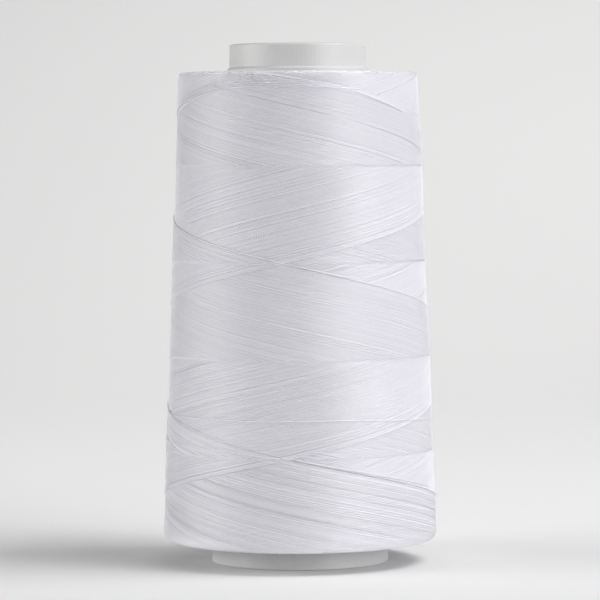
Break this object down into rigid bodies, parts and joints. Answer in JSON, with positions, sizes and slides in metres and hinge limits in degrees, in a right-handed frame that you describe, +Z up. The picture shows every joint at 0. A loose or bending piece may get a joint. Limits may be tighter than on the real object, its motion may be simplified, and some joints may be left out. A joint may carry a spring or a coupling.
{
  "type": "cone of thread",
  "caption": "Full cone of sewing thread, cross-wound on a hollow tapered moulded core that shows as a collar above and a foot below.",
  "frame": {"origin": "centre of the circle that the core stands on, in the plane of the surface", "axes": "+Z up the axis of the cone, towards its narrow end; -Y towards the viewer, where the newest turns cross"},
  "size_m": [0.0608, 0.0608, 0.1146],
  "materials": {
    "core": "white moulded polypropylene, satin",
    "thread": "white filament polyester, fine cross-wound turns, silky"
  },
  "bodies": {
    "root": {"cone_core": "core", "thread_winding": "thread"}
  },
  "joints": []
}
